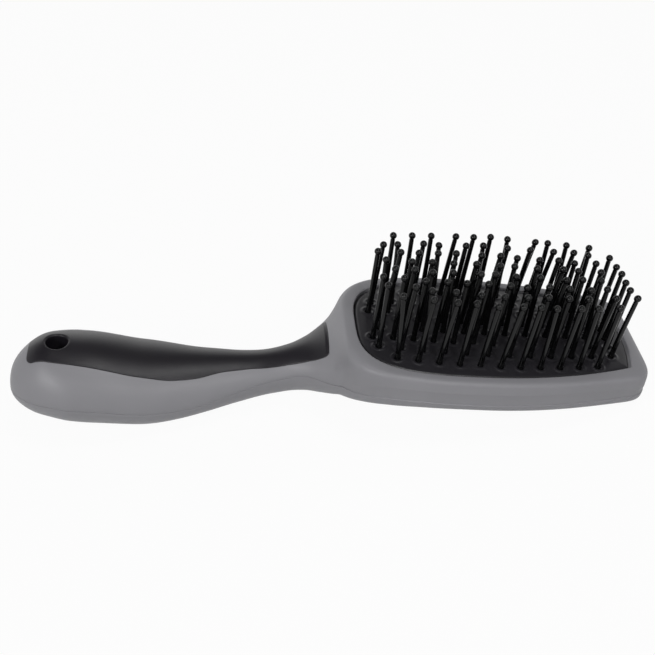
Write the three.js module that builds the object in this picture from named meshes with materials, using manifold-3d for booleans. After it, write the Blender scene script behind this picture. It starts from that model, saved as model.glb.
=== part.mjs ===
// Mane and tail brush: a grey two-part shell with a soft black grip, and a rubber cushion that carries
// eight rows of ball-tipped pins. Millimetres, +Z up. The brush is drawn with its pad level, x from the
// butt of the handle to the far end of the head and the rim's top face at z = 0. At the end it is laid
// on its back as it rests on a table, on the belly of the handle and the far end of the head.
import * as THREE from "three";
import { mergeVertices } from "three/addons/utils/BufferGeometryUtils.js";
import Module from "manifold-3d";

// The pad's opening in the head, seen from above.
const padNeckEnd = -49.1;
const padFarEnd = 55.8;
const padCorner = padFarEnd - 3;
const padCornerHalfWidth = 19.4;
const padHalfWidth = 28.7;
const padWidestAt = -4;
const padSquareness = 3.3;
const rimWidth = 5.5;

// The shell.
const buttEnd = -175.6;
const buttRound = 13.3;
const buttSquareness = 2.3;
const farEnd = padFarEnd + rimWidth + 0.3;
const farRoundStart = farEnd - 14;
const farSquareness = 4.6;
const farTopSquareness = 5.5;
const farBackSquareness = 8;
const wall = 2.6;
const neckBlend = 8;
const backFlatLevel = -16.6;
const backFlatStart = 2;
const backFlatEnd = 44;
const backFlatHalfWidth = 15;

// The lip of the front half that goes into the back half all round the parting line.
const lipDepth = 1.6;
const lipThickness = 1;

// The grip and the hanging hole that it lines.
const gripDepth = 1.3;
const gripButtEnd = -168.4;
const gripNeckEnd = -58.6;
const gripButtCorner = 2.5;
const gripNeckCorner = 0.8;
const holeAt = -158.1;
const holeRadius = 4.4;
const holeLining = 1.5;

// The rubber cushion, its crown, and its edge under the rim's lip.
const cushionTop = 0.1;
const cushionCrown = 0.9;
const cushionThickness = 1.6;
const cushionEdge = 1.4;
const cushionEdgeThickness = 1.4;
const cushionTravel = 3;

// The pins. The rows mirror each other, so each list runs from the outermost row to the middle.
const rowCount = 8;
const pinsInRow = [11, 12, 13, 12];
const neckClearance = [13.5, 7.4, 5.8, 9.1];
const farClearance = [15.8, 8.8, 8.8, 8.2];
const rowSpacing = 0.2195 * padHalfWidth;
const rowMiddle = 1.7;
const rowBow = 0.17;
const rowReach = 45;
const pinRadius = 0.92;
const pinNeckRadius = 0.84;
const ballRadius = 1.5;
const ballCentre = 26.3;
const stripWidth = 3;
const stripThickness = 1.2;

// Clearances between neighbours.
const seam = 0.3;
const gripGap = 0.25;
const fit = 0.3;
const pinHoleRadius = pinRadius + fit + 0.05;

// Levels that follow from them.
const cushionUnderside = cushionTop - cushionCrown - cushionThickness;
const edgeTop = -wall - fit - 0.1;
const edgeLow = edgeTop - cushionEdgeThickness;

// A smooth line through a few [x, value] points that doesn't overshoot between them.
function smoothLine(points) {
  const rise = (a, b) => (b[1] - a[1]) / (b[0] - a[0]);
  const slopes = points.map((point, i) => {
    if (i === 0 || i === points.length - 1) {
      return 0;
    }
    const before = rise(points[i - 1], point);
    const after = rise(point, points[i + 1]);
    return before * after <= 0 ? 0 : (2 * before * after) / (before + after);
  });
  return (x) => {
    let i = 0;
    while (i < points.length - 2 && x > points[i + 1][0]) {
      i += 1;
    }
    const span = points[i + 1][0] - points[i][0];
    const t = THREE.MathUtils.clamp((x - points[i][0]) / span, 0, 1);
    const [v0, v1] = [points[i][1], points[i + 1][1]];
    const [m0, m1] = [slopes[i] * span, slopes[i + 1] * span];
    const bend = (m0 + m1 - 2 * (v1 - v0)) * t + (3 * (v1 - v0) - 2 * m0 - m1);
    return v0 + m0 * t + bend * t * t;
  };
}

// The shell's lines along x: half width of the handle, top, back, the parting line between the two
// halves, the extra depth of the back on the middle line, and how square the section is.
const handleHalfWidth = smoothLine([
  [-176, 13], [-151, 19.8], [-127, 18.8], [-102, 13.5], [-90, 10.3], [-78, 8.4],
  [-72, 8.6], [-66, 10.6], [-60, 14.8], [-54, 18.9], [-48, 21.6], [-36, 23],
]);
const topLine = smoothLine([
  [-176, -20.2], [-160, -15.2], [-148, -15.5], [-127, -18.4], [-108, -19.15], [-98, -19], [-90, -18.7],
  [-84, -18], [-78, -16.5], [-70, -13.2], [-65, -10.7], [-60, -7], [-55, -2.6], [-51, 0], [62, 0],
]);
const backLine = smoothLine([
  [-176, -43], [-160, -44.6], [-144, -46.2], [-127, -46.4], [-102, -41.5], [-77, -34.3],
  [-66, -31.3], [-55, -27.2], [-45, -22.4], [-25, -18], [0, -16.8], [62, -16.8],
]);
const partingLine = smoothLine([
  [-176, -34.6], [-168, -33.6], [-156, -32.1], [-143, -32.4], [-127, -33.7], [-111, -33.4], [-94, -28.9],
  [-74, -22.15], [-66, -18.7], [-56, -16.5], [-47, -12.4], [-38, -9.7], [-24, -8.8], [62, -9],
]);
const keelLine = smoothLine([[-80, 0], [-62, 0.6], [-48, 2.2], [-25, 2.4], [0, 1.8], [62, 1.9]]);
const topSquareness = smoothLine([
  [-176, 1.85], [-125, 1.95], [-90, 1.85], [-70, 1.85], [-60, 2.05],
  [-57, 2.3], [-52, 4.5], [-46, 13], [40, 13], [62, 8],
]);
const lowSquareness = smoothLine([[-72, 2.1], [-45, 2.8], [-20, 3.2], [62, 3.3]]);
const gripHalfWidth = smoothLine([
  [-169, 7], [-166.5, 7.7], [-157, 9.7], [-147, 10.6], [-137, 11.1], [-120, 11.5],
  [-108, 9.8], [-95, 6.6], [-85, 5.6], [-74, 6.1], [-66, 7.7], [-58.5, 10],
]);

// Half width of the head at x: square-shouldered at the neck, a long bow to the far corners.
function headHalfWidth(x, grow) {
  const full = padHalfWidth + grow;
  if (x < padWidestAt) {
    const share = (padWidestAt - x) / (padWidestAt - padNeckEnd + grow);
    return share >= 1 ? 0 : full * (1 - share ** padSquareness) ** (1 / padSquareness);
  }
  const share = (x - padWidestAt) / (padCorner - padWidestAt);
  return full - (padHalfWidth - padCornerHalfWidth) * share ** 2;
}

// How much is left of a rounded end: 1 where the rounding starts, 0 at the very end.
function endScale(share, power) {
  return (1 - THREE.MathUtils.clamp(share, 0, 1) ** power) ** (1 / power);
}

// One point of the shell's section at x, inset from the outer surface. Angle 0 is the top.
function sectionPoint(x, angle, inset) {
  const far = (x - farRoundStart) / (farEnd - farRoundStart);
  const butt = endScale(1 - (x - buttEnd) / buttRound, buttSquareness);
  const sine = Math.abs(Math.sin(angle)) < 1e-9 ? 0 : Math.sin(angle);
  const cosine = Math.abs(Math.cos(angle)) < 1e-9 ? 0 : Math.cos(angle);
  const neck = handleHalfWidth(x) * butt;
  const blended = (neck ** neckBlend + headHalfWidth(x, rimWidth) ** neckBlend) ** (1 / neckBlend);
  const halfWidth = blended * endScale(far, farSquareness) - inset;
  const parting = partingLine(x);
  const square = cosine >= 0 ? topSquareness(x) : lowSquareness(x);
  const across = Math.sign(sine) * Math.abs(sine) ** (2 / square);
  const upright = Math.abs(cosine) ** (2 / square);
  if (cosine >= 0) {
    const height = (topLine(x) - parting) * butt * endScale(far, farTopSquareness) - inset;
    return [x, halfWidth * across, parting + height * upright];
  }
  const keel = keelLine(x) * (1 - (1 - across ** 2) ** 2);
  const depth = (parting - backLine(x) - keel) * butt * endScale(far, farBackSquareness) - inset;
  return [x, halfWidth * across, parting - depth * upright];
}

const wasm = await Module();
wasm.setup();

// A closed three.js geometry as a solid that can be joined and cut.
function solid(geometry) {
  const bare = geometry.clone();
  bare.deleteAttribute("normal");
  bare.deleteAttribute("uv");
  const merged = mergeVertices(bare, 1e-4);
  const corners = [];
  for (let i = 0; i < merged.index.count; i += 3) {
    const [a, b, c] = [0, 1, 2].map((k) => merged.index.getX(i + k));
    if (a !== b && b !== c && c !== a) {
      corners.push(a, b, c);
    }
  }
  const vertProperties = Float32Array.from(merged.attributes.position.array);
  const triVerts = Uint32Array.from(corners);
  return new wasm.Manifold(new wasm.Mesh({ numProp: 3, vertProperties, triVerts }));
}

// A solid back as a three.js geometry.
function geometryOf(body) {
  const mesh = body.getMesh();
  const geometry = new THREE.BufferGeometry();
  geometry.setAttribute("position", new THREE.BufferAttribute(mesh.vertProperties, 3));
  geometry.setIndex(new THREE.BufferAttribute(mesh.triVerts, 1));
  geometry.computeVertexNormals();
  return geometry;
}

// A tube of cylinder wall whose rings are moved onto the shell's sections at the given stations.
function loft(stations, sides, inset, openEnded) {
  const geometry = new THREE.CylinderGeometry(1, 1, 1, sides, stations.length - 1, openEnded);
  const position = geometry.attributes.position;
  for (let i = 0; i < position.count; i += 1) {
    const [cx, cy, cz] = [position.getX(i), position.getY(i), position.getZ(i)];
    const x = stations[Math.round((0.5 - cy) * (stations.length - 1))];
    const [px, py, pz] = sectionPoint(x, Math.atan2(cx, cz), inset);
    const middle = partingLine(x);
    const share = Math.min(1, Math.hypot(cx, cz));
    position.setXYZ(i, px, py * share, middle + (pz - middle) * share);
  }
  return solid(geometry);
}

// Numbers from start to end in even steps, both ends included.
function steps(start, end, count) {
  return Array.from({ length: count + 1 }, (_, i) => start + ((end - start) * i) / count);
}

// An upright prism over a plan outline of [x, y] points.
function prism(outline, low, high) {
  const shape = new THREE.Shape(outline.map(([x, y]) => new THREE.Vector2(x, y)));
  const geometry = new THREE.ExtrudeGeometry(shape, { depth: high - low, bevelEnabled: false });
  return solid(geometry.translate(0, 0, low));
}

// Everything above (side 1) or below (side -1) the parting line, kept off it by half the seam.
function halfSpace(side, shift) {
  const reach = 90;
  const line = steps(buttEnd - 4, farEnd + 4, 48).map((x) => new THREE.Vector2(x, partingLine(x) + shift));
  const shape = new THREE.Shape([
    ...line,
    new THREE.Vector2(farEnd + 4, side * reach),
    new THREE.Vector2(buttEnd - 4, side * reach),
  ]);
  const geometry = new THREE.ExtrudeGeometry(shape, { depth: reach, bevelEnabled: false });
  return solid(geometry.rotateX(Math.PI / 2).translate(0, reach / 2, 0));
}

// The pad's outline, grown or shrunk evenly: neck end, long side, far end, and the same mirrored.
function padOutline(grow) {
  const neck = padNeckEnd - grow;
  const quarter = steps(0, Math.PI / 2, 14).map((angle) => {
    const x = padWidestAt - (padWidestAt - neck) * Math.cos(angle) ** (2 / padSquareness);
    return [x, (padHalfWidth + grow) * Math.sin(angle) ** (2 / padSquareness)];
  });
  const corner = padCorner + grow;
  const side = steps(padWidestAt, corner, 8).slice(1).map((x) => [x, headHalfWidth(x, grow)]);
  const cornerHalfWidth = headHalfWidth(corner, grow);
  const end = steps(cornerHalfWidth, 0, 5).slice(1).map((y) => {
    return [corner + (padFarEnd - padCorner) * (1 - (y / cornerHalfWidth) ** 2), y];
  });
  const near = [...quarter, ...side, ...end];
  const mirrored = near.slice(1, -1).reverse().map(([x, y]) => [x, -y]);
  return [...near, ...mirrored].reverse();
}

// How far a rounded corner of that radius draws an edge in, at a distance from the corner.
function cornerDrop(distance, radius) {
  const near = THREE.MathUtils.clamp(radius - distance, 0, radius);
  return radius - Math.sqrt(radius ** 2 - near ** 2);
}

// The grip's outline from above: it follows the handle's waist, with its corners rounded.
function gripOutline(grow) {
  const [low, high] = [gripButtEnd - grow, gripNeckEnd + grow];
  const xs = [
    ...steps(0, 1, 5).map((t) => low + gripButtCorner * t ** 2),
    ...steps(low + gripButtCorner, high - gripNeckCorner, 20).slice(1),
    ...[0.4, 0.1, 0].map((t) => high - gripNeckCorner * t),
  ];
  const side = xs.map((x) => {
    const corners = cornerDrop(x - low, gripButtCorner) + cornerDrop(high - x, gripNeckCorner);
    return [x, gripHalfWidth(x) + grow - corners];
  });
  return [...side.map(([x, y]) => [x, -y]), ...side.slice().reverse()];
}

// An upright round bar.
function bar(x, radius, low, high, sides) {
  const geometry = new THREE.CylinderGeometry(radius, radius, high - low, sides);
  return solid(geometry.rotateX(Math.PI / 2).translate(x, 0, (low + high) / 2));
}

// Stations along the brush: close together on the round ends and on the neck's shoulder.
const buttStations = steps(0, Math.PI / 2, 7).map((a) => buttEnd + buttRound * (1 - Math.cos(a)));
const handleStations = steps(buttEnd + buttRound, -66, 15).slice(1);
const shoulderStations = steps(-66, -36, 10).slice(1);
const headStations = steps(-36, farRoundStart, 6).slice(1);
const farStations = steps(0, Math.PI / 2, 8).slice(1).map((a) => {
  return farRoundStart + (farEnd - farRoundStart) * Math.sin(a);
});
const stations = [...buttStations, ...handleStations, ...shoulderStations, ...headStations, ...farStations];

// The inside of the shell at an inset, stopping short of both ends. Between the round ends it takes
// every second station.
function inside(inset) {
  const [first, last] = [buttEnd + 1.5 * inset, farEnd - 1.1 * inset];
  const between = stations.filter((x, i) => {
    const round = x < buttEnd + buttRound || x > farRoundStart;
    return (round || i % 2 === 0) && x > first + 0.3 && x < last - 0.3;
  });
  return loft([first, ...between, last], 20, inset, false);
}
const gripStations = stations.filter((x) => x > buttEnd + 1.5 && x < -52);

const body = loft(stations, 28, 0, true);
const cavity = inside(wall);
const underGrip = loft(gripStations, 28, gripDepth, false);
const underRecess = loft(gripStations, 28, gripDepth + gripGap, false);
const liningHole = bar(holeAt, holeRadius + holeLining + gripGap, -80, 20, 24);
const gripSpace = halfSpace(1, 0.5);

// The inside of the shell from a little above the parting line down to that depth below it.
function partingBand(inset, depth) {
  return inside(inset).intersect(halfSpace(1, -depth)).subtract(halfSpace(1, 1));
}

// The front half: rim, walls and upper handle, with the pad's opening, the room under the rim that the
// cushion's edge moves in, the grip's recess, and the lip that locates the back half.
function frontShell() {
  const lip = partingBand(wall - lipThickness, lipDepth).subtract(cavity);
  const recess = prism(gripOutline(gripGap), -60, 20).intersect(gripSpace).subtract(underRecess);
  const edgeRoom = prism(padOutline(cushionEdge + fit), edgeLow - cushionTravel - fit, -wall);
  return body
    .intersect(halfSpace(1, seam / 2))
    .subtract(cavity)
    .add(lip)
    .subtract(prism(padOutline(0), -2 * wall, 20))
    .subtract(edgeRoom)
    .subtract(recess)
    .subtract(liningHole);
}

// The back half, with the rebate for the lip and a flat on the middle of the head's back.
function backShell() {
  const panel = [
    [backFlatStart, -backFlatHalfWidth],
    [backFlatEnd, -backFlatHalfWidth],
    [backFlatEnd, backFlatHalfWidth],
    [backFlatStart, backFlatHalfWidth],
  ];
  const rebate = partingBand(wall - lipThickness - fit, lipDepth + fit);
  return body
    .intersect(halfSpace(-1, -seam / 2))
    .subtract(cavity)
    .subtract(rebate)
    .subtract(prism(panel, -60, backFlatLevel))
    .subtract(liningHole);
}

// The grip, in one with the sleeve that lines the hanging hole.
function gripInlay() {
  const skin = body.intersect(prism(gripOutline(0), -60, 20)).intersect(gripSpace).subtract(underGrip);
  const sleeve = body.intersect(bar(holeAt, holeRadius + holeLining, -80, 20, 24));
  return skin.add(sleeve).subtract(bar(holeAt, holeRadius, -80, 20, 24));
}

// Where the pins of one row stand, on a line that bows out with the pad's sides.
function rowY(row, x) {
  return (row - (rowCount - 1) / 2) * rowSpacing * (1 - rowBow * ((x - rowMiddle) / rowReach) ** 2);
}
function rowPins(row) {
  const kind = Math.min(row, rowCount - 1 - row);
  const [first, last] = [padNeckEnd + neckClearance[kind], padFarEnd - farClearance[kind]];
  return steps(first, last, pinsInRow[kind] - 1).map((x) => [x, rowY(row, x)]);
}

// A shallow dome over the pad that reaches down past the cushion: the rubber is crowned by it.
function dome() {
  const reach = 1.25 * padHalfWidth;
  const crown = steps(reach, 0, 5).map((r) => [r, cushionTop - cushionCrown * (r / padHalfWidth) ** 2]);
  const outline = [[0, 2 * edgeLow], [reach, 2 * edgeLow], ...crown];
  const profile = outline.map(([r, z]) => new THREE.Vector2(r, z));
  const stretch = (padFarEnd - padNeckEnd) / (2 * padHalfWidth);
  const cap = new THREE.LatheGeometry(profile, 24).rotateX(Math.PI / 2).scale(stretch, 1, 1);
  return solid(cap.translate((padFarEnd + padNeckEnd) / 2, 0, 0));
}

// The rubber cushion: a crowned tray upside down, its edge under the rim, with a hole for each pin.
function cushion() {
  const plate = prism(padOutline(-fit), edgeLow, cushionTop + 1).intersect(dome());
  const edge = prism(padOutline(cushionEdge), edgeLow, edgeTop);
  const hollow = prism(padOutline(-fit - cushionThickness), edgeLow - 2, cushionUnderside);
  const hole = new THREE.CylinderGeometry(pinHoleRadius, pinHoleRadius, 10, 6).rotateX(Math.PI / 2);
  let rubber = plate.add(edge).subtract(hollow);
  for (let row = 0; row < rowCount; row += 1) {
    for (const [x, y] of rowPins(row)) {
      rubber = rubber.subtract(solid(hole.clone().translate(x, y, cushionTop)));
    }
  }
  return rubber;
}

// One row: tapered pins with a ball on the end, standing on a thin strip behind the rubber.
function pinRow(row) {
  const stripTop = cushionUnderside - fit;
  const pins = rowPins(row);
  const ends = [pins[0][0] - stripWidth / 2, pins[pins.length - 1][0] + stripWidth / 2];
  const near = steps(ends[0], ends[1], 10).map((x) => [x, rowY(row, x) - stripWidth / 2]);
  const far = near.map(([x, y]) => [x, y + stripWidth]).reverse();
  let moulding = prism([...near, ...far], stripTop - stripThickness, stripTop);
  const profile = [
    [0, stripTop - stripThickness / 2],
    [pinRadius, stripTop - stripThickness / 2],
    [pinNeckRadius, ballCentre - 0.85 * ballRadius],
    [ballRadius, ballCentre - 0.15 * ballRadius],
    [0.8 * ballRadius, ballCentre + 0.6 * ballRadius],
    [0, ballCentre + ballRadius],
  ].map(([r, z]) => new THREE.Vector2(r, z));
  const pin = new THREE.LatheGeometry(profile, 6).rotateX(Math.PI / 2);
  for (const [x, y] of pins) {
    moulding = moulding.add(solid(pin.clone().translate(x, y, 0)));
  }
  return moulding;
}

const grey = new THREE.MeshStandardMaterial({ color: 0x8f9496, roughness: 0.5, metalness: 0.0 });
const softBlack = new THREE.MeshStandardMaterial({ color: 0x2e2b33, roughness: 0.8, metalness: 0.0 });
const rubberBlack = new THREE.MeshStandardMaterial({ color: 0x17161a, roughness: 0.7, metalness: 0.0 });
const pinBlack = new THREE.MeshStandardMaterial({ color: 0x0c0c0e, roughness: 0.25, metalness: 0.0 });

const brush = new THREE.Group();
function place(name, part, material) {
  const mesh = new THREE.Mesh(geometryOf(part), material);
  mesh.name = name;
  brush.add(mesh);
}

place("front_shell", frontShell(), grey);
place("back_shell", backShell(), grey);
place("grip_inlay", gripInlay(), softBlack);
place("cushion", cushion(), rubberBlack);
for (let row = 0; row < rowCount; row += 1) {
  place(`pin_row_${row + 1}`, pinRow(row), pinBlack);
}

// Laid on its back: turned until the belly of the handle and the far end of the head are level.
function lowest(from, to, tilt) {
  const heights = steps(from, to, 80).map((x) => {
    return sectionPoint(x, Math.PI, 0)[2] * Math.cos(tilt) - x * Math.sin(tilt);
  });
  return Math.min(...heights);
}
let [flatter, steeper] = [0, 0.4];
while (steeper - flatter > 1e-7) {
  const tilt = (flatter + steeper) / 2;
  if (lowest(-170, -70, tilt) < lowest(10, farEnd, tilt)) {
    flatter = tilt;
  } else {
    steeper = tilt;
  }
}
brush.rotation.y = flatter;
brush.updateMatrixWorld(true);
const bounds = new THREE.Box3().setFromObject(brush, true);
const middle = bounds.getCenter(new THREE.Vector3());
brush.position.set(-middle.x, -middle.y, -bounds.min.z);

const object = new THREE.Group();
object.add(brush);
export default object;
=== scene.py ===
"""Dresses the mane and tail brush: grey shell halves, soft grip, rubber cushion and eight rows of pins.

Shapes are drawn in millimetres with the pad level, x from the butt of the handle to the far end of the
head and the rim's top at z = 0. `laid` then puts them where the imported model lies, in metres.
"""
import math
import random

import bmesh
import bpy
import numpy as np
from mathutils import Matrix, Vector


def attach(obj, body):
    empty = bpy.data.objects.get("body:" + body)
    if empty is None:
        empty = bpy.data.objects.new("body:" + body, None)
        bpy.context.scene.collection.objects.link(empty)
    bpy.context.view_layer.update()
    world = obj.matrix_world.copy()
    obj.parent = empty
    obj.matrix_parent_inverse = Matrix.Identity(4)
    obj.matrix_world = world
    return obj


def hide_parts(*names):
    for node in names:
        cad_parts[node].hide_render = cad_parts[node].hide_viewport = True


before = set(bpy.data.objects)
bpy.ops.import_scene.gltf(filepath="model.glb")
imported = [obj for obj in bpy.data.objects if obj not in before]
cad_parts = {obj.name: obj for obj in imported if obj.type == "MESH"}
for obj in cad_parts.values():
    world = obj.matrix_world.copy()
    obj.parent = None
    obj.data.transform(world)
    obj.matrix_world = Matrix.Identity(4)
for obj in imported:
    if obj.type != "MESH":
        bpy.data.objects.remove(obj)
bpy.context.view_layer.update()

# How the brush lies: the turn about Y and the shift from the level drawing to the row frame.
TILT = 0.16169558
SHIFT = (59.45002, 0.0, 25.872532)

# Too small to see: keeps divisions safe and merges points. Stations of a surface stand at least a hair apart.
TINY = 1e-6
HAIR = 0.012

# The pad's opening.
PAD_NECK, PAD_FAR, PAD_CORNER = -49.1, 55.8, 52.8
PAD_CORNER_HALF, PAD_HALF = 19.4, 28.7
PAD_WIDEST, PAD_SQUARE = -4.0, 3.3
RIM = 5.5

# The shell.
BUTT, BUTT_ROUND, BUTT_SQUARE = -175.6, 13.3, 2.3
FAR = PAD_FAR + RIM + 0.3
FAR_ROUND = FAR - 14
FAR_SQUARE, FAR_TOP_SQUARE, FAR_BACK_SQUARE = 4.6, 5.5, 8.0
NECK_BLEND = 8
SHOULDER = -70
WALL, INNER_RUN = 2.4, 25

# The flat on the head's back: its height, middle, half length and half width, and how it fades out.
BACK_FLAT = -16.6
FLAT_MIDDLE, FLAT_LONG, FLAT_WIDE, FLAT_FADE = 23, 21, 15, 4

# Radii of rounded edges: front and back half at the parting line, rim at the pad, grip and its recess.
FRONT_ROUND, BACK_ROUND, RIM_ROUND, GRIP_ROUND = 0.3, 0.25, 0.6, 0.2

# The grip and the hanging hole.
GRIP_BUTT, GRIP_NECK = -168.4, -58.6
GRIP_BUTT_CORNER, GRIP_NECK_CORNER = 2.5, 0.8
GRIP_GAP, GRIP_THICK = 0.05, 1.25
HOLE_X, HOLE_R, SLEEVE_R, HOLE_LIP, SLEEVE_END = -158.1, 4.0, 5.9, 1.0, 0.7
HOLE_SIDES, CUTTER_LOW, CUTTER_HIGH = 96, -70.0, 20.0

# The cushion: its edge, its crown and how soon that is reached, its rolled edge, the gap round it, the inset
# and level of its underside's rings, and the stretch of the middle line that its rings of points start from.
CUSHION_EDGE, CUSHION_CROWN, CROWN_REACH, CUSHION_ROLL = -0.9, 1.0, 7, 1.3
CUSHION_GAP, CUSHION_STEPS = 0.25, 150
CUSHION_UNDERSIDE = ((0.0, -3.2), (-0.6, -4.0))
CUSHION_CORE = (-26, 34)

# Round each pin's foot: depth and reach of the dimple, and height, radius and width of the ring.
DIMPLE_DEEP, DIMPLE_REACH = 0.55, 1.45
RING_HIGH, RING_R, RING_WIDE = 0.3, 2.1, 0.55

# The rows of pins.
ROW_PINS = (11, 12, 13, 12, 12, 13, 12, 11)
ROW_START = (-35.6, -41.7, -43.3, -40.0, -40.0, -43.3, -41.7, -35.6)
ROW_END = (40.0, 47.0, 47.0, 47.6, 47.6, 47.0, 47.0, 40.0)
ROW_SPACING, ROW_MIDDLE, ROW_BOW, ROW_REACH = 6.3, 1.7, 0.17, 45.0
ROWS = len(ROW_PINS)

# One pin: its radii, its ball's height, its foot as (height, share of the radius), and the most that it
# leans along and across its row.
PIN_R, PIN_NECK_R, BALL_R, BALL_Z = 0.98, 0.88, 1.35, 26.35
PIN_FOOT = ((-2.0, 0.96), (-0.55, 1.2), (0.3, 1.06), (1.4, 1.0))
PIN_SIDES, PIN_SEED, PIN_LEAN = 18, 40, (0.08, 0.03)

# The photograph's camera, in metres, and its focal length and picture width in pixels.
EYE = (-0.013218, -0.293683, 0.261953)
AHEAD, RIGHT = (0.03696, 0.78704, -0.6158), (0.99612, -0.07828, -0.04025)
FOCAL_PIXELS, PICTURE_PIXELS, SENSOR = 1000, 655, 36.0

# Soft lamps: name, place and size in metres, and power in watts. All point at the brush.
LAMPS = (
    ("key", (-0.72, -0.72, 0.66), 0.36, 5.6),
    ("fill", (0.25, -0.56, 0.53), 0.16, 1.5),
    ("above", (0.18, -0.1, 0.8), 0.3, 2.0),
    ("behind", (-0.3, 0.72, 0.25), 0.7, 1.0),
)
LAMPS_AIM = (0, 0, 0.02)

# The backdrop's strength: high up, for light low down, and what is added low down where it is seen.
SKY_HIGH, SKY_LOW, SKY_SEEN = 0.1, 0.5, 0.4
FLOOR_GREY, FLOOR_GLOW = 0.6, 0.95


def smooth_line(*points):
    """A smooth line through a few (x, value) points that doesn't overshoot between them."""
    xs, values = np.array(points, float).T
    rise = np.diff(values) / np.diff(xs)
    slopes = np.zeros(len(xs))
    for i in range(1, len(xs) - 1):
        if rise[i - 1] * rise[i] > 0:
            slopes[i] = 2 * rise[i - 1] * rise[i] / (rise[i - 1] + rise[i])

    def value(x):
        x = np.clip(x, xs[0], xs[-1])
        i = np.clip(np.searchsorted(xs, x) - 1, 0, len(xs) - 2)
        span = xs[i + 1] - xs[i]
        t = (x - xs[i]) / span
        v0, v1 = values[i], values[i + 1]
        m0, m1 = slopes[i] * span, slopes[i + 1] * span
        return v0 + m0 * t + ((m0 + m1 - 2 * (v1 - v0)) * t + 3 * (v1 - v0) - 2 * m0 - m1) * t * t

    return value


# Lines along the brush through (x, value) points: half widths of handle and grip, heights of the top, the back
# and the parting line, how much the head's back rises to its sides, squareness of the sections, and the draft
# of the head's side walls.
handle_half = smooth_line(
    (-176, 13), (-151, 19.8), (-127, 18.8), (-102, 13.5), (-90, 10.3), (-78, 8.4), (-72, 8.6), (-66, 10.6),
    (-60, 14.8), (-54, 18.9), (-48, 21.6), (-36, 23),
)
top_line = smooth_line(
    (-176, -20.2), (-160, -15.2), (-148, -15.5), (-127, -18.4), (-108, -19.15), (-98, -19), (-90, -18.7),
    (-84, -18), (-78, -16.5), (-70, -13.2), (-65, -10.7), (-60, -7), (-56, -3.2), (-54, -1.1), (-52.8, -0.2),
    (-51, 0), (62, 0),
)
back_line = smooth_line(
    (-176, -43), (-160, -44.6), (-144, -46.2), (-127, -46.4), (-102, -41.5), (-77, -34.3), (-66, -31.3),
    (-55, -27.2), (-45, -22.4), (-25, -18), (0, -16.8), (62, -16.8),
)
parting_line = smooth_line(
    (-176, -34.6), (-168, -33.6), (-156, -32.1), (-143, -32.4), (-127, -33.7), (-111, -33.4), (-94, -28.9),
    (-74, -22.15), (-66, -18.7), (-56, -16.5), (-47, -12.4), (-38, -9.7), (-24, -8.8), (62, -9),
)
keel_line = smooth_line((-80, 0), (-62, 0.6), (-48, 2.2), (-25, 2.4), (0, 1.8), (62, 1.9))
top_square = smooth_line(
    (-176, 1.85), (-125, 1.95), (-90, 1.85), (-70, 1.85), (-60, 2.05), (-57, 2.4), (-55, 3.4),
    (-53, 6), (-50, 9), (-46, 13), (-36, 20), (40, 20), (62, 10),
)
low_square = smooth_line((-72, 2.1), (-45, 2.8), (-20, 3.2), (62, 3.3))
draft_line = smooth_line(
    (-52, 0), (-45, 0.6), (-40, 1.0), (-30, 1.9), (-17, 2.4), (0, 2.3), (15, 1.8), (32, 1.2), (45, 1.1),
    (62, 0.6),
)
grip_half = smooth_line(
    (-169, 7), (-166.5, 7.7), (-157, 9.7), (-147, 10.6), (-137, 11.1), (-120, 11.5), (-108, 9.8), (-95, 6.6),
    (-85, 5.6), (-74, 6.1), (-66, 7.7), (-58.5, 10),
)


def head_half(x, grow):
    """Half width of the head at x, widened by grow."""
    full = PAD_HALF + grow
    neck = np.clip((PAD_WIDEST - x) / (PAD_WIDEST - PAD_NECK + grow), 0, 1)
    far = np.clip((x - PAD_WIDEST) / (PAD_CORNER - PAD_WIDEST), 0, None)
    shoulder = full * (1 - neck**PAD_SQUARE) ** (1 / PAD_SQUARE)
    return np.where(x < PAD_WIDEST, shoulder, full - (PAD_HALF - PAD_CORNER_HALF) * far**2)


def end_scale(share, power):
    """How much is left of a rounded end: 1 where the rounding starts, 0 at the very end."""
    return (1 - np.clip(share, 0, 1) ** power) ** (1 / power)


def half_width(x):
    """Half width of the whole shell at x."""
    butt = end_scale(1 - (x - BUTT) / BUTT_ROUND, BUTT_SQUARE)
    far = end_scale((x - FAR_ROUND) / (FAR - FAR_ROUND), FAR_SQUARE)
    neck = (handle_half(x) * butt) ** NECK_BLEND
    return (neck + head_half(x, RIM) ** NECK_BLEND) ** (1 / NECK_BLEND) * far


def upper_height(x, across):
    """Height of the upper surface where the half width's share `across` is reached."""
    butt = end_scale(1 - (x - BUTT) / BUTT_ROUND, BUTT_SQUARE)
    far = end_scale((x - FAR_ROUND) / (FAR - FAR_ROUND), FAR_TOP_SQUARE)
    square = top_square(x)
    rise = (1 - np.clip(across, 0, 1) ** square) ** (1 / square)
    return parting_line(x) + (top_line(x) - parting_line(x)) * butt * far * rise


def lower_height(x, across):
    """Height of the lower surface, with the flat on the middle of the head's back."""
    butt = end_scale(1 - (x - BUTT) / BUTT_ROUND, BUTT_SQUARE)
    far = end_scale((x - FAR_ROUND) / (FAR - FAR_ROUND), FAR_BACK_SQUARE)
    square = low_square(x)
    across = np.clip(across, 0, 1)
    fall = (1 - across**square) ** (1 / square)
    depth = parting_line(x) - back_line(x) - keel_line(x) * (1 - (1 - across**2) ** 2)
    height = parting_line(x) - depth * butt * far * fall
    along = np.clip((FLAT_LONG - np.abs(x - FLAT_MIDDLE)) / FLAT_FADE, 0, 1)
    inside = along * np.clip((FLAT_WIDE - across * half_width(x)) / FLAT_FADE, 0, 1)
    return height + (np.maximum(height, BACK_FLAT) - height) * inside


# How far from an edge the points stand, closer together at the edge for its rounding.
EDGE_STEPS = np.array([0, 0.08, 0.17, 0.28, 0.42, 0.65])
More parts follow.
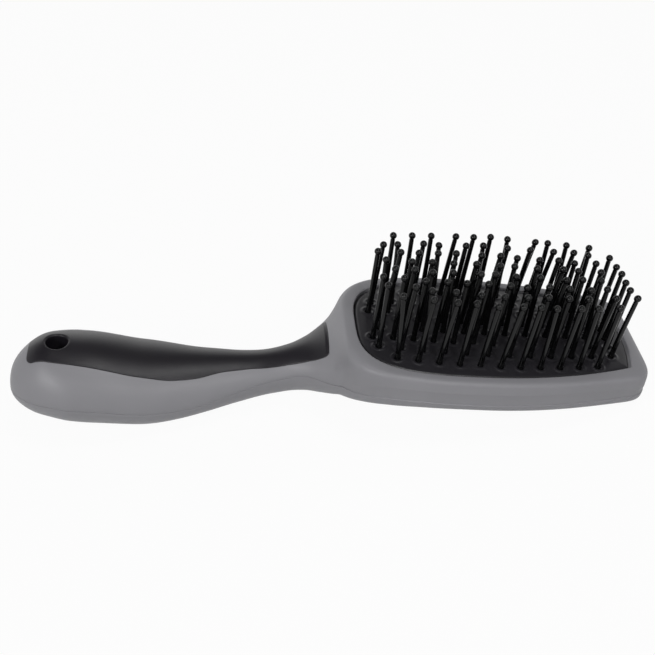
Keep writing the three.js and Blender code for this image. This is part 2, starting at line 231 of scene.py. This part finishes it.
# On a section shorter than this the steps shrink with it.
EDGE_STEPS_ROOM = 6
# How far from the grip's ends the stations stand on its rounded corners.
BUTT_CORNER_STEPS = GRIP_BUTT_CORNER * np.linspace(0, 1, 12) ** 2
NECK_CORNER_STEPS = GRIP_NECK_CORNER * np.linspace(0, 1, 8) ** 2


def spread(start, height_at, count):
    """Shares of the half width from `start` to 1, spaced along the section, and each one's way to the end."""
    angle = np.linspace(0, math.pi / 2, 700)
    across = start + (1 - start) * np.sin(angle)
    y, z = across * height_at.width, height_at(across)
    length = np.concatenate([[0], np.cumsum(np.hypot(np.diff(y), np.diff(z)))])
    total = max(length[-1], TINY)
    edge = EDGE_STEPS * min(1, total / EDGE_STEPS_ROOM)
    middle = np.linspace(edge[-1], total - edge[-1], count + 2)[1:-1]
    along = np.concatenate([edge, middle, total - edge[::-1]])
    return np.interp(along, length, across), total - along


class Section:
    """The upper or lower outline of the shell at one station."""

    def __init__(self, x, height):
        self.x, self.height, self.width = x, height, float(half_width(x))

    def __call__(self, across):
        return self.height(self.x, across)


def rounding(distance, radius):
    """How far a surface falls away at `distance` from an edge with that radius."""
    near = np.clip(radius - distance, 0, radius)
    return radius - np.sqrt(np.maximum(radius**2 - near**2, 0))


def grid_normals(grid):
    """Outward normals of a grid of the shell's points. Where it closes up at an end, they point along x."""
    cross = np.cross(np.gradient(grid, axis=0), np.gradient(grid, axis=1))
    x = grid[:, :, 0]
    away = grid - np.stack([np.clip(x, BUTT + 14, FAR - 10), 0 * x, parting_line(x)], axis=2)
    size = np.linalg.norm(cross, axis=2, keepdims=True)
    normals = np.where(size > 1e-9, cross / np.maximum(size, 1e-9), np.sign(away) * (1, 0, 0))
    return np.where(np.sum(normals * away, axis=2, keepdims=True) < 0, -normals, normals)


def edge_round(grid, from_edge, radius):
    """Rounds a shell half's edge at the parting line."""
    return grid - grid_normals(grid) * rounding(from_edge, radius)[:, :, None]


def pad_outline(grow, count=70):
    """The pad's outline from above as an (n, 2) array, grown or shrunk evenly."""
    angle = np.linspace(0, math.pi / 2, count)
    reach = PAD_WIDEST - PAD_NECK + grow
    neck_x = PAD_WIDEST - reach * np.cos(angle) ** (2 / PAD_SQUARE)
    neck_y = (PAD_HALF + grow) * np.sin(angle) ** (2 / PAD_SQUARE)
    side_x = np.linspace(PAD_WIDEST, PAD_CORNER + grow, count)[1:]
    side_y = head_half(side_x, grow)
    end_y = np.linspace(side_y[-1], 0, count // 2)[1:]
    end_x = PAD_CORNER + grow + (PAD_FAR - PAD_CORNER) * (1 - (end_y / side_y[-1]) ** 2)
    half_x, half_y = np.concatenate([neck_x, side_x, end_x]), np.concatenate([neck_y, side_y, end_y])
    half = np.column_stack([half_x, half_y])
    return np.vstack([half, half[-2:0:-1] * (1, -1)])


def grip_edge(x, grow):
    """Half width of the grip at x, with its corners rounded."""
    butt = rounding(x - GRIP_BUTT + grow, GRIP_BUTT_CORNER)
    neck = rounding(GRIP_NECK + grow - x, GRIP_NECK_CORNER)
    return grip_half(x) + grow - butt - neck


def grip_outline(grow, count=220):
    """The grip's outline from above as an (n, 2) array."""
    turn = (1 - np.cos(np.linspace(0, math.pi, count))) / 2
    x = GRIP_BUTT - grow + (GRIP_NECK - GRIP_BUTT + 2 * grow) * turn
    y = grip_edge(x, grow)
    return np.vstack([np.column_stack([x, -y]), np.column_stack([x, y])[::-1]])


def outline_distance(points, outline):
    """Distance in plan from each point to a closed outline."""
    step = np.roll(outline, -1, axis=0) - outline
    best = np.full(len(points), np.inf)
    for a, d in zip(outline, step):
        t = np.clip(((points - a) @ d) / max(d @ d, 1e-12), 0, 1)
        best = np.minimum(best, np.linalg.norm(points - a - t[:, None] * d, axis=1))
    return best


laid = Matrix.Translation(Vector(SHIFT) * 0.001) @ Matrix.Rotation(TILT, 4, "Y") @ Matrix.Scale(0.001, 4)


def mesh_object(name, points, faces, weld=0.0):
    """A smooth-shaded object from points in the level drawing."""
    mesh = bpy.data.meshes.new(name)
    mesh.from_pydata([tuple(p) for p in np.asarray(points).reshape(-1, 3)], [], faces)
    shape = bmesh.new()
    shape.from_mesh(mesh)
    if weld:
        bmesh.ops.remove_doubles(shape, verts=shape.verts, dist=weld)
        bmesh.ops.dissolve_degenerate(shape, edges=shape.edges, dist=weld / 4)
    bmesh.ops.recalc_face_normals(shape, faces=shape.faces)
    shape.to_mesh(mesh)
    shape.free()
    mesh.transform(laid)
    mesh.shade_smooth()
    made = bpy.data.objects.new(name, mesh)
    bpy.context.scene.collection.objects.link(made)
    return made


def circle(sides):
    """The angles of evenly spaced points round a circle."""
    return np.linspace(0, 2 * math.pi, sides + 1)[:-1]


def grid_faces(rows, columns, first=0, closed=False):
    """Quads of a grid of points numbered row by row; closed joins the last column to the first."""
    faces = []
    for i in range(rows - 1):
        for j in range(columns if closed else columns - 1):
            k = (j + 1) % columns
            a, b = first + i * columns + j, first + i * columns + k
            faces.append((a, b, b + columns, a + columns))
    return faces


def settle(made):
    """Applies an object's modifiers to its mesh."""
    bpy.context.view_layer.update()
    evaluated = made.evaluated_get(bpy.context.evaluated_depsgraph_get())
    mesh = bpy.data.meshes.new_from_object(evaluated)
    made.modifiers.clear()
    made.data = mesh
    return made


def skinned(name, outer, inner, faces):
    """A closed wall between an outer and an inner surface that share the same faces."""
    count = len(outer)
    once = {}
    for face in faces:
        for a, b in zip(face, face[1:] + face[:1]):
            if (b, a) in once:
                del once[b, a]
            else:
                once[a, b] = True
    wall = [tuple(count + i for i in reversed(face)) for face in faces]
    wall += [(b, a, a + count, b + count) for a, b in once]
    return mesh_object(name, np.vstack([outer, inner]), faces + wall, weld=1e-3)


def thicken(made, thickness):
    """Gives a surface a wall on its inner side."""
    solidify = made.modifiers.new("wall", "SOLIDIFY")
    solidify.thickness = thickness * 0.001
    solidify.offset = -1
    return settle(made)


def drill(made, radius):
    """Cuts the hanging hole at that radius through an object."""
    angle = circle(HOLE_SIDES)
    ring = np.column_stack([HOLE_X + radius * np.cos(angle), radius * np.sin(angle)])
    low = np.column_stack([ring, np.full(HOLE_SIDES, CUTTER_LOW)])
    high = np.column_stack([ring, np.full(HOLE_SIDES, CUTTER_HIGH)])
    faces = grid_faces(2, HOLE_SIDES, closed=True)
    faces += [tuple(range(HOLE_SIDES)), tuple(range(2 * HOLE_SIDES - 1, HOLE_SIDES - 1, -1))]
    cutter = mesh_object("hole_cutter", np.vstack([low, high]), faces)
    cut = made.modifiers.new("hole", "BOOLEAN")
    cut.operation = "DIFFERENCE"
    cut.solver = "EXACT"
    cut.object = cutter
    settle(made)
    bpy.data.objects.remove(cutter)
    shape = bmesh.new()
    shape.from_mesh(made.data)
    bmesh.ops.remove_doubles(shape, verts=shape.verts, dist=TINY)
    bmesh.ops.dissolve_degenerate(shape, edges=shape.edges, dist=TINY)
    shape.to_mesh(made.data)
    shape.free()
    return made


def sharpen(made, degrees):
    """Smooth shading that breaks at edges sharper than that."""
    made.data.shade_smooth()
    made.data.set_sharp_from_angle(angle=math.radians(degrees))
    return made


def stations(parts):
    """Several runs of stations as one, in order."""
    xs = np.unique(np.round(np.concatenate(parts), 4))
    return xs[np.append(True, np.diff(xs) > HAIR)]


def shell_stations():
    """Stations along the brush, close together on the round ends and at the edges of grip and pad."""
    turn = np.linspace(0, math.pi / 2, 30)
    butt = BUTT + BUTT_ROUND * (1 - np.cos(turn)) ** 1.2
    handle = np.arange(BUTT + BUTT_ROUND + 0.8, SHOULDER, 1.0)
    shoulder = np.arange(SHOULDER, PAD_NECK - 0.7, 0.5)
    neck = np.cos(np.linspace(0, math.pi / 2, 60)) ** (2 / PAD_SQUARE)
    neck = PAD_WIDEST - (PAD_WIDEST - PAD_NECK) * neck
    side = np.arange(PAD_WIDEST + 1, PAD_CORNER, 1.0)
    corner = np.linspace(PAD_CORNER, PAD_FAR, 40)
    far = FAR_ROUND + (FAR - FAR_ROUND) * np.sin(np.linspace(0, math.pi / 2, 40))
    far = far[far > PAD_FAR + EDGE_STEPS[-1] + 0.1]
    parts = [butt, handle, shoulder, PAD_NECK - EDGE_STEPS, neck, side, corner, PAD_FAR + EDGE_STEPS, far]
    parts += [GRIP_BUTT - EDGE_STEPS, GRIP_BUTT + BUTT_CORNER_STEPS]
    parts += [GRIP_NECK + EDGE_STEPS, GRIP_NECK - NECK_CORNER_STEPS]
    xs = stations(parts)
    return np.append(xs[xs < FAR - 0.005], FAR)


def opening_at(x):
    """Half width of the opening in the front half at x. Where there is none, its place runs on."""
    if x < GRIP_BUTT:
        return float(grip_edge(GRIP_BUTT, 0.0) * half_width(x) / half_width(GRIP_BUTT))
    if x <= GRIP_NECK:
        return float(grip_edge(x, 0.0))
    if x < PAD_NECK:
        return float(grip_edge(GRIP_NECK, 0.0) * math.sqrt((PAD_NECK - x) / (PAD_NECK - GRIP_NECK)))
    if x <= PAD_CORNER:
        return float(head_half(x, 0.0))
    return PAD_CORNER_HALF * math.sqrt(max(0.0, (PAD_FAR - x) / (PAD_FAR - PAD_CORNER)))


def inner_station(x):
    """Where a station of the inner surface stands: drawn in at both ends."""
    butt = np.clip(1 - (x - BUTT) / INNER_RUN, 0, 1)
    far = np.clip(1 - (FAR - x) / INNER_RUN, 0, 1)
    return x + WALL * (butt - far)


def thinner(size):
    """The share that is left of a size with the wall taken off it."""
    return np.maximum(0.12, 1 - WALL / np.maximum(size, TINY))


def mirrored(half):
    """A grid of points with its mirror image joined on."""
    return np.concatenate([half[:, :0:-1] * (1, -1, 1), half], axis=1)


def front_half():
    """The upper shell: rim round the pad, walls with draft down to the parting line, handle round the grip."""
    count, fill = 34, 12
    xs = shell_stations()
    rows, inner, from_parting = [], [], []
    for x in xs:
        section = Section(x, upper_height)
        opening = min(opening_at(x), 0.999 * section.width)
        across, rest = spread(opening / max(section.width, TINY), section, count)
        filled = np.linspace(0, opening, fill + 1)[:-1]
        y = np.concatenate([filled, across * section.width])
        z = section(y / max(section.width, TINY))
        parting = parting_line(x)
        up = np.clip((z - parting) / max(section(0.0) - parting, TINY), 0, 1)
        beyond = np.clip((y - opening) / max(section.width - opening, TINY), 0, 1)
        y = y - min(draft_line(x), 0.3 * (section.width - opening)) * up * beyond
        inner_y = np.where(y < opening, y, opening + (y - opening) * thinner(section.width - opening))
        inner_z = parting + (z - parting) * thinner(section(0.0) - parting)
        rest = np.concatenate([rest[0] + opening - filled, rest])
        rows.append(np.column_stack([np.full(len(y), x), y, z]))
        inner.append(np.column_stack([np.full(len(y), inner_station(x)), inner_y, inner_z]))
        from_parting.append(rest)
    rows, inner, from_parting = (np.array(part) for part in (rows, inner, from_parting))
    rows = edge_round(rows, from_parting, FRONT_ROUND)
    flat = rows.reshape(-1, 3)
    fall = rounding(outline_distance(flat[:, :2], pad_outline(0.0)), RIM_ROUND)
    fall += rounding(outline_distance(flat[:, :2], grip_outline(0.0)), GRIP_ROUND)
    rows[:, :, 2] -= fall.reshape(rows.shape[:2])
    rows, inner = mirrored(rows), mirrored(inner)
    columns = rows.shape[1]
    middle = (columns - 1) // 2
    faces = []
    for i, (a, b) in enumerate(zip(xs[:-1], xs[1:])):
        x = (a + b) / 2
        closed = x < GRIP_BUTT or GRIP_NECK < x < PAD_NECK or x > PAD_FAR
        for j in range(columns - 1):
            if closed or not middle - fill <= j < middle + fill:
                k = i * columns + j
                faces.append((k, k + columns, k + columns + 1, k + 1))
    return sharpen(skinned("front_half", rows.reshape(-1, 3), inner.reshape(-1, 3), faces), 45)


def back_half():
    """The lower shell, one bowl from parting line to parting line, with the hanging hole."""
    rows, inner, from_parting = [], [], []
    for x in shell_stations():
        section = Section(x, lower_height)
        across, rest = spread(0.0, section, 44)
        y, z = across * section.width, section(across)
        parting = parting_line(x)
        rows.append(np.column_stack([np.full(len(y), x), y, z]))
        inner_z = parting + (z - parting) * thinner(parting - section(0.0))
        inner_y = y * thinner(section.width)
        inner.append(np.column_stack([np.full(len(y), inner_station(x)), inner_y, inner_z]))
        from_parting.append(rest)
    rows, inner, from_parting = (np.array(part) for part in (rows, inner, from_parting))
    rows = edge_round(rows, from_parting, BACK_ROUND)
    rows, inner = mirrored(rows), mirrored(inner)
    faces = grid_faces(len(rows), rows.shape[1])
    made = skinned("back_half", rows.reshape(-1, 3), inner.reshape(-1, 3), faces)
    return sharpen(drill(made, SLEEVE_R + 0.1), 45)


def joined(made, other):
    """Puts another object's mesh into the first."""
    shape = bmesh.new()
    shape.from_mesh(made.data)
    shape.from_mesh(other.data)
    shape.to_mesh(made.data)
    shape.free()
    bpy.data.objects.remove(other)
    return made


def hole_sleeve(outside):
    """The soft lip round the hanging hole and the sleeve that lines it, one closed ring."""
    # Each ring is a radius with a depth under the upper surface or else a height over the lower one.
    turn = np.linspace(0, math.pi / 2, 9)
    rings = [(outside, 0.0, None), (outside - 0.5, 0.0, None), (HOLE_R + HOLE_LIP + 0.25, 0.0, None)]
    rings += [(HOLE_R + HOLE_LIP * (1 - math.sin(a)), HOLE_LIP * (1 - math.cos(a)), None) for a in turn]
    rings += [(HOLE_R, top, None) for top in (1.8, 3.0, 6.0)] + [(HOLE_R, None, low) for low in (2.0, 1.0)]
    for a in turn[1:]:
        rings.append((HOLE_R + SLEEVE_END * (1 - math.cos(a)), None, SLEEVE_END * (1 - math.sin(a))))
    rings += [(SLEEVE_R - 0.3, None, 0.0), (SLEEVE_R, None, 0.3), (SLEEVE_R, None, 2.0)]
    rings += [(SLEEVE_R, 1.3, None), (outside, GRIP_THICK, None), (outside, 0.0, None)]
    angle = circle(HOLE_SIDES)
    points = []
    for radius, top, low in rings:
        x, y = HOLE_X + radius * np.cos(angle), radius * np.sin(angle)
        across = np.abs(y) / half_width(x)
        z = upper_height(x, across) - top if low is None else lower_height(x, across) + low
        points.append(np.column_stack([x, y, z]))
    faces = grid_faces(len(rings), HOLE_SIDES, closed=True)
    return mesh_object("sleeve", np.vstack(points), faces, weld=1e-4)


def soft_grip():
    """The inlay on the handle, in one with the lip and the sleeve of the hanging hole."""
    low, high = GRIP_BUTT + GRIP_GAP, GRIP_NECK - GRIP_GAP
    parts = [low + EDGE_STEPS, low + BUTT_CORNER_STEPS, high - EDGE_STEPS, high - NECK_CORNER_STEPS]
    parts += [np.arange(HOLE_X - 8, HOLE_X + 8, 0.3), np.arange(low + 3, high - 1, 0.8)]
    rows = []
    for x in stations(parts):
        width, edge = float(half_width(x)), float(grip_edge(x, -GRIP_GAP))
        side = edge - EDGE_STEPS[::-1]
        y = np.concatenate([-side[::-1], np.linspace(-side[0], side[0], 66)[1:-1], side])
        rows.append(np.column_stack([np.full(len(y), x), y, upper_height(x, np.abs(y) / width)]))
    grid = np.array(rows)
    flat = grid.reshape(-1, 3)
    flat[:, 2] -= rounding(outline_distance(flat[:, :2], grip_outline(-GRIP_GAP)), GRIP_ROUND)
    made = mesh_object("soft_grip", flat, grid_faces(len(grid), grid.shape[1]), weld=1e-5)
    outside = HOLE_R + HOLE_LIP + 1.0
    drill(thicken(made, GRIP_THICK), outside)
    return sharpen(joined(made, hole_sleeve(outside)), 40)


def row_y(row, x):
    """Where a row of pins runs across the pad at x."""
    return (row - (ROWS - 1) / 2) * ROW_SPACING * (1 - ROW_BOW * ((x - ROW_MIDDLE) / ROW_REACH) ** 2)


def row_pins(row):
    """The feet of one row's pins in plan."""
    x = np.linspace(ROW_START[row], ROW_END[row], ROW_PINS[row])
    return np.column_stack([x, row_y(row, x)])


ALL_PINS = np.vstack([row_pins(row) for row in range(ROWS)])


def cushion_height(points, from_edge):
    """Height of the rubber: crowned, with a rolled edge and a dimple with a raised ring round each pin."""
    height = CUSHION_EDGE + CUSHION_CROWN * (1 - np.exp(-from_edge / CROWN_REACH))
    height -= rounding(from_edge, CUSHION_ROLL)
    for foot in ALL_PINS:
        away = np.linalg.norm(points - foot, axis=1)
        ring = RING_HIGH * np.exp(-(((away - RING_R) / RING_WIDE) ** 2))
        height += ring - DIMPLE_DEEP * np.exp(-((away / DIMPLE_REACH) ** 2))
    return height


def air_cushion():
    """The rubber cushion: a crowned closed form that fills the pad's opening."""
    outline = pad_outline(-CUSHION_GAP, CUSHION_STEPS)
    core = np.column_stack([np.clip(outline[:, 0], *CUSHION_CORE), np.zeros(len(outline))])
    at_edge = 1 - np.array([0.045, 0.032, 0.02, 0.01, 0.004, 0])
    rings = []
    for share in np.concatenate([[0.0], np.linspace(0.02, 0.94, 62), at_edge]):
        plan = core + (outline - core) * share
        rings.append(np.column_stack([plan, cushion_height(plan, outline_distance(plan, outline))]))
    for grow, level in CUSHION_UNDERSIDE:
        plan = pad_outline(-CUSHION_GAP + grow, CUSHION_STEPS)
        rings.append(np.column_stack([plan, np.full(len(outline), level)]))
    columns = len(outline)
    faces = grid_faces(len(rings), columns, closed=True)
    faces.append(tuple(range((len(rings) - 1) * columns, len(rings) * columns)))
    return sharpen(mesh_object("air_cushion", np.vstack(rings), faces, weld=1e-4), 60)


def pin_row(row):
    """One row of nylon pins: tapered, each with a ball on its tip, and leaning a little its own way."""
    chance = random.Random(PIN_SEED + row)
    height, radius = [z for z, share in PIN_FOOT], [PIN_R * share for z, share in PIN_FOOT]
    foot, shaft = PIN_FOOT[-1][0], BALL_Z - BALL_R - 1.6
    for t in (0.25, 0.5, 0.75, 1.0):
        height.append(foot + shaft * t)
        radius.append(PIN_R + (PIN_NECK_R - PIN_R) * t)
    ball = np.linspace(math.radians(-56), math.radians(84), 10)
    height += list(BALL_Z + BALL_R * np.sin(ball))
    radius += list(BALL_R * np.cos(ball))
    points, faces = [], []
    for x, y in row_pins(row):
        lean = [max(-most, min(most, chance.gauss(0, most / 2))) for most in PIN_LEAN]
        first = len(points)
        for r, z in zip(radius, height):
            swing = max(z, 0) * (0.75 + 0.25 * max(z, 0) / BALL_Z)
            at_x, at_y = x + lean[0] * swing, y + lean[1] * swing
            points += [(at_x + r * math.cos(a), at_y + r * math.sin(a), z) for a in circle(PIN_SIDES)]
        faces += grid_faces(len(radius), PIN_SIDES, first=first, closed=True)
        faces.append(tuple(range(first, first + PIN_SIDES)))
        last = first + (len(radius) - 1) * PIN_SIDES
        faces.append(tuple(range(last, last + PIN_SIDES)))
    return mesh_object(f"pins_{row + 1}", points, faces)


def material(name, colour, other, roughness, grain, bump, **sockets):
    """Moulded material: colour drifts a little towards `other`, gloss varies, and it has a fine grain."""
    made = bpy.data.materials.new(name)
    made.use_nodes = True
    nodes, links = made.node_tree.nodes, made.node_tree.links
    shader = nodes["Principled BSDF"]
    for socket, value in sockets.items():
        shader.inputs[socket.replace("_", " ")].default_value = value
    place = nodes.new("ShaderNodeTexCoord")
    cloud = nodes.new("ShaderNodeTexNoise")
    cloud.inputs["Scale"].default_value = 60
    cloud.inputs["Detail"].default_value = 4
    links.new(place.outputs["Object"], cloud.inputs["Vector"])
    tint = nodes.new("ShaderNodeMix")
    tint.data_type = "RGBA"
    tint.inputs["A"].default_value = (*colour, 1)
    tint.inputs["B"].default_value = (*other, 1)
    links.new(cloud.outputs["Fac"], tint.inputs["Factor"])
    links.new(tint.outputs["Result"], shader.inputs["Base Color"])
    speck = nodes.new("ShaderNodeTexNoise")
    speck.inputs["Scale"].default_value = grain
    speck.inputs["Detail"].default_value = 3
    links.new(place.outputs["Object"], speck.inputs["Vector"])
    gloss = nodes.new("ShaderNodeMapRange")
    gloss.inputs["From Min"].default_value = 0.3
    gloss.inputs["From Max"].default_value = 0.7
    gloss.inputs["To Min"].default_value = roughness[0]
    gloss.inputs["To Max"].default_value = roughness[1]
    links.new(speck.outputs["Fac"], gloss.inputs["Value"])
    links.new(gloss.outputs["Result"], shader.inputs["Roughness"])
    relief = nodes.new("ShaderNodeBump")
    relief.inputs["Strength"].default_value = bump
    relief.inputs["Distance"].default_value = 0.0001
    links.new(speck.outputs["Fac"], relief.inputs["Height"])
    links.new(relief.outputs["Normal"], shader.inputs["Normal"])
    return made


def dress(made, paint, body, slot, *nodes):
    """Paints a piece and makes it stand for its CAD nodes on their body."""
    made.data.materials.clear()
    made.data.materials.append(paint)
    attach(made, body)
    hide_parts(*nodes)
    return made


grey = material(
    "grey_plastic", (0.2, 0.198, 0.211), (0.222, 0.22, 0.234), (0.4, 0.5), 1800, 0.12,
    Specular_IOR_Level=0.4,
)
soft = material(
    "soft_touch", (0.007, 0.006, 0.0085), (0.011, 0.0095, 0.013), (0.36, 0.46), 2600, 0.35,
    Specular_IOR_Level=0.37,
)
rubber = material(
    "black_rubber", (0.012, 0.0112, 0.0138), (0.016, 0.015, 0.0182), (0.28, 0.38), 2200, 0.25,
    Specular_IOR_Level=0.45,
)
nylon = material(
    "black_nylon", (0.001, 0.001, 0.0013), (0.003, 0.003, 0.0033), (0.03, 0.06), 900, 0.02,
    Specular_IOR_Level=0.27,
)

dress(front_half(), grey, "shell", "grey_shell", "front_shell")
dress(back_half(), grey, "shell", "grey_shell", "back_shell")
dress(soft_grip(), soft, "shell", "soft_grip", "grip_inlay")
cushion = dress(air_cushion(), rubber, "pad", "pad_rubber", "cushion")
for number in range(ROWS):
    dress(pin_row(number), nylon, f"row_{number + 1}", "pin_nylon", f"pin_row_{number + 1}")


def seen_directly(tree):
    """A value that is 1 for what is seen, also in reflections and through clear things, and 0 for light."""
    path = tree.nodes.new("ShaderNodeLightPath")
    value = path.outputs["Is Camera Ray"]
    for other in ("Is Glossy Ray", "Is Transmission Ray"):
        either = tree.nodes.new("ShaderNodeMath")
        either.operation = "MAXIMUM"
        tree.links.new(value, either.inputs[0])
        tree.links.new(path.outputs[other], either.inputs[1])
        value = either.outputs[0]
    return value


def studio():
    """A backdrop that is pale low down all round, a pale floor and soft lamps."""
    world = bpy.data.worlds.new("studio")
    bpy.context.scene.world = world
    world.use_nodes = True
    tree = world.node_tree
    toward = tree.nodes.new("ShaderNodeTexCoord")
    part = tree.nodes.new("ShaderNodeSeparateXYZ")
    tree.links.new(toward.outputs["Generated"], part.inputs[0])
    fade = tree.nodes.new("ShaderNodeMapRange")
    fade.inputs["From Min"].default_value = 0.22
    fade.inputs["From Max"].default_value = 0.6
    fade.inputs["To Min"].default_value = 1.0
    fade.inputs["To Max"].default_value = 0.0
    tree.links.new(part.outputs["Z"], fade.inputs["Value"])
    pale = tree.nodes.new("ShaderNodeMath")
    pale.operation = "MULTIPLY_ADD"
    pale.inputs[1].default_value = SKY_SEEN
    pale.inputs[2].default_value = SKY_LOW
    tree.links.new(seen_directly(tree), pale.inputs[0])
    level = tree.nodes.new("ShaderNodeMath")
    level.operation = "MULTIPLY_ADD"
    level.inputs[2].default_value = SKY_HIGH
    tree.links.new(fade.outputs["Result"], level.inputs[0])
    tree.links.new(pale.outputs[0], level.inputs[1])
    sky = tree.nodes["Background"]
    sky.inputs["Color"].default_value = (1, 1, 1, 1)
    tree.links.new(level.outputs[0], sky.inputs["Strength"])

    bpy.ops.mesh.primitive_plane_add(size=6, location=(0, 0, -0.0003))
    floor = bpy.context.object
    floor.name = "floor"
    paint = bpy.data.materials.new("pale_floor")
    paint.use_nodes = True
    tree = paint.node_tree
    matt = tree.nodes["Principled BSDF"]
    matt.inputs["Base Color"].default_value = (FLOOR_GREY, FLOOR_GREY, FLOOR_GREY, 1)
    matt.inputs["Roughness"].default_value = 0.9
    matt.inputs["Specular IOR Level"].default_value = 0.1
    glow = tree.nodes.new("ShaderNodeEmission")
    glow.inputs["Strength"].default_value = 1.0
    share = tree.nodes.new("ShaderNodeMath")
    share.operation = "MULTIPLY"
    share.inputs[1].default_value = FLOOR_GLOW
    tree.links.new(seen_directly(tree), share.inputs[0])
    mixed = tree.nodes.new("ShaderNodeMixShader")
    tree.links.new(share.outputs[0], mixed.inputs["Fac"])
    tree.links.new(matt.outputs[0], mixed.inputs[1])
    tree.links.new(glow.outputs[0], mixed.inputs[2])
    tree.links.new(mixed.outputs[0], tree.nodes["Material Output"].inputs["Surface"])
    floor.data.materials.append(paint)

    for name, place, size, watts in LAMPS:
        lamp = bpy.data.lights.new(name, "AREA")
        lamp.shape = "SQUARE"
        lamp.size = size
        lamp.energy = watts
        holder = bpy.data.objects.new(name, lamp)
        bpy.context.scene.collection.objects.link(holder)
        holder.location = place
        aim = Vector(LAMPS_AIM) - holder.location
        holder.rotation_euler = aim.to_track_quat("-Z", "Y").to_euler()


def photo_camera():
    """The photograph's camera, turned so that it looks ahead with its picture's right side to the right."""
    ahead = Vector(AHEAD).normalized()
    right = Vector(RIGHT).normalized()
    right = (right - ahead * right.dot(ahead)).normalized()
    up = right.cross(ahead)
    lens = bpy.data.cameras.new("photo_camera")
    lens.sensor_width = SENSOR
    lens.lens = SENSOR * FOCAL_PIXELS / PICTURE_PIXELS
    lens.clip_start = 0.01
    holder = bpy.data.objects.new("photo_camera", lens)
    bpy.context.scene.collection.objects.link(holder)
    turn = Matrix((right, up, -ahead)).transposed().to_4x4()
    holder.matrix_world = Matrix.Translation(EYE) @ turn
    bpy.context.scene.camera = holder


studio()
photo_camera()
bpy.context.scene.view_settings.view_transform = "Standard"
